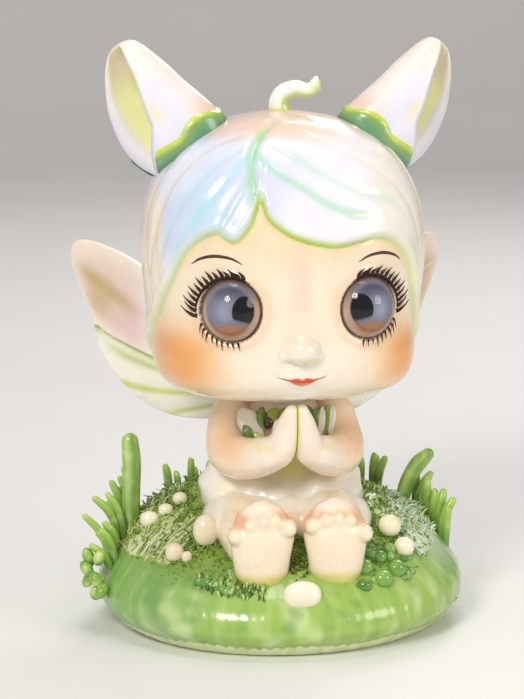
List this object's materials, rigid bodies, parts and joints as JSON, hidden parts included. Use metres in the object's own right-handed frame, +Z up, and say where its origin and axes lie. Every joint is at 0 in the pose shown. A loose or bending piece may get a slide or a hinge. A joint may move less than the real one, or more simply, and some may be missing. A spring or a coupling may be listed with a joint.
{
  "type": "vinyl art toy figurine",
  "caption": "Seated doll-like woodland fairy on a grassy hill: big turning head with animal ears and glass-like eyes, wings, praying hands.",
  "frame": {"origin": "on the resting face, under the middle of the hill", "axes": "+Z up, the figure faces -Y, its own left hand is on +X"},
  "size_m": [0.1064, 0.0877, 0.1573],
  "materials": {
    "hill_vinyl": "glossy translucent green vinyl with a pale lower rim",
    "plate_plastic": "plain moulded plate",
    "screw_steel": "zinc-plated screws",
    "grass_vinyl": "glossy green vinyl",
    "stone_vinyl": "glossy cream paint",
    "skin_vinyl": "glossy peach and cream airbrushed vinyl",
    "leaf_paint": "glossy leaf-green paint",
    "bead_plastic": "gloss black",
    "hinge_plastic": "natural acetal",
    "wing_vinyl": "pearly cream vinyl with lime veins",
    "hair_vinyl": "pearly white vinyl with lime edges",
    "ear_vinyl": "pearly white outside, straw-yellow lining",
    "sprout_vinyl": "white vinyl, lime underneath",
    "eye_glass": "clear polished dome",
    "iris_print": "grey-lavender iris with an amber lower rim",
    "pupil_print": "gloss black",
    "eye_cup_plastic": "dark moulded cup",
    "lash_plastic": "dark brown moulded lash band"
  },
  "bodies": {
    "base": {"hill_base": "hill_vinyl", "base_plate": "plate_plastic", "plate_screws": "screw_steel", "figure_screw": "screw_steel", "tall_stem": "grass_vinyl", "bent_stem": "grass_vinyl", "grass_left": "grass_vinyl", "grass_right": "grass_vinyl", "grass_rear": "grass_vinyl", "leaf_rosettes": "grass_vinyl", "bead_cluster": "grass_vinyl", "moss_tuft": "grass_vinyl", "front_stone": "stone_vinyl", "egg_stone": "stone_vinyl", "small_buds": "stone_vinyl", "pebble_cluster": "stone_vinyl", "pebble_pair": "stone_vinyl", "torso": "skin_vinyl", "left_leg": "skin_vinyl", "right_leg": "skin_vinyl", "leaf_collar": "leaf_paint", "chest_leaves": "leaf_paint", "chest_bead": "bead_plastic", "neck_post": "hinge_plastic", "neck_washer": "screw_steel", "neck_screw": "screw_steel", "left_forewing": "wing_vinyl", "right_forewing": "wing_vinyl", "left_hindwing": "wing_vinyl", "right_hindwing": "wing_vinyl"},
    "head": {"face_shell": "skin_vinyl", "head_back": "hair_vinyl", "hair_front_left": "hair_vinyl", "hair_front_right": "hair_vinyl", "neck_bush": "hinge_plastic", "left_eye_lens": "eye_glass", "right_eye_lens": "eye_glass", "left_iris": "iris_print", "right_iris": "iris_print", "left_pupil": "pupil_print", "right_pupil": "pupil_print", "left_eye_cup": "eye_cup_plastic", "right_eye_cup": "eye_cup_plastic", "left_lashes": "lash_plastic", "right_lashes": "lash_plastic", "left_ear_bush": "hinge_plastic", "right_ear_bush": "hinge_plastic"},
    "left_arm": {"left_arm": "skin_vinyl", "left_arm_clip": "hinge_plastic"},
    "right_arm": {"right_arm": "skin_vinyl", "right_arm_clip": "hinge_plastic"},
    "left_ear": {"left_ear": "ear_vinyl", "left_ear_trim": "leaf_paint", "left_ear_clip": "hinge_plastic"},
    "right_ear": {"right_ear": "ear_vinyl", "right_ear_trim": "leaf_paint", "right_ear_clip": "hinge_plastic"},
    "sprout": {"sprout": "sprout_vinyl"}
  },
  "joints": [
    {"name": "head_swivel", "type": "hinge", "parent": "base", "child": "head", "pos_m": [0, 0, 0.068], "axis": [0, 0, 1], "continuous": true},
    {"name": "left_arm_swing", "type": "hinge", "parent": "base", "child": "left_arm", "pos_m": [0.013, 0, 0.0565], "axis": [1, 0, 0], "range_deg": [0, 16]},
    {"name": "right_arm_swing", "type": "hinge", "parent": "base", "child": "right_arm", "pos_m": [-0.013, 0, 0.0565], "axis": [1, 0, 0], "range_deg": [0, 16]},
    {"name": "left_ear_swivel", "type": "hinge", "parent": "head", "child": "left_ear", "pos_m": [0.0249, 0.002, 0.1312], "axis": [0.6, 0, 0.8], "range_deg": [-15, 15]},
    {"name": "right_ear_swivel", "type": "hinge", "parent": "head", "child": "right_ear", "pos_m": [-0.0249, 0.002, 0.1312], "axis": [-0.6, 0, 0.8], "range_deg": [-15, 15]},
    {"name": "sprout_swivel", "type": "hinge", "parent": "head", "child": "sprout", "pos_m": [0, 0, 0.138], "axis": [0, 0, 1], "continuous": true}
  ]
}
